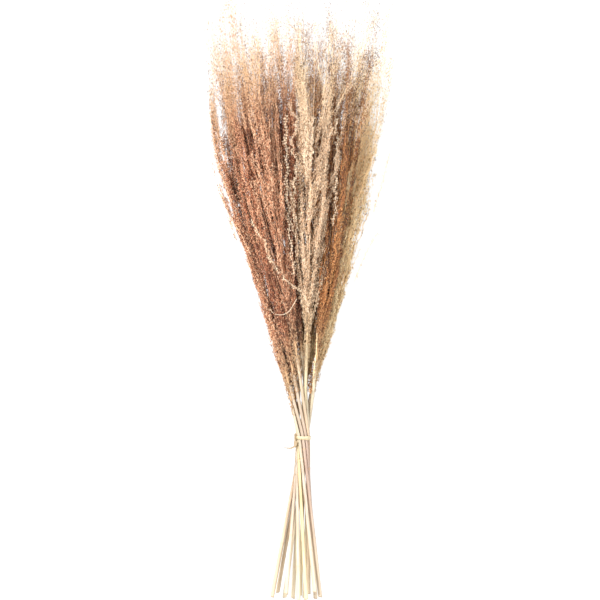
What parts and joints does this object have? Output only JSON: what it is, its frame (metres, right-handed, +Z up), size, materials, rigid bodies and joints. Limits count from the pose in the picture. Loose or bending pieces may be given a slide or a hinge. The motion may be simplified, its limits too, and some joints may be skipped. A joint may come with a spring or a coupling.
{
  "type": "bundle of dried miscanthus",
  "caption": "Long cut stalks of dried miscanthus with feathery plumes, crossed in a spiral and tied at the waist with raffia, lying on their side.",
  "frame": {"origin": "on the table, under the middle of the lying bundle's box", "axes": "+Y along the bundle from the cut feet to the plume tips, +Z up from the table, +X to the right seen from above with the plumes away"},
  "size_m": [0.2154, 0.7664, 0.1086],
  "materials": {
    "straw": "satin",
    "plume_russet": "matte",
    "plume_cream": "matte",
    "plume_gold": "matte",
    "raffia": "satin"
  },
  "bodies": {
    "root": {"stem_01": "straw", "plume_01": "plume_russet", "stem_02": "straw", "plume_02": "plume_russet", "stem_03": "straw", "plume_03": "plume_russet", "stem_04": "straw", "plume_04": "plume_russet", "stem_05": "straw", "plume_05": "plume_cream", "stem_06": "straw", "plume_06": "plume_gold", "stem_07": "straw", "plume_07": "plume_gold", "stem_08": "straw", "plume_08": "plume_gold", "stem_09": "straw", "plume_09": "plume_russet", "stem_10": "straw", "plume_10": "plume_russet", "stem_11": "straw", "plume_11": "plume_cream", "stem_12": "straw", "plume_12": "plume_gold", "stem_13": "straw", "plume_13": "plume_cream", "raffia_tie": "raffia"}
  },
  "joints": []
}
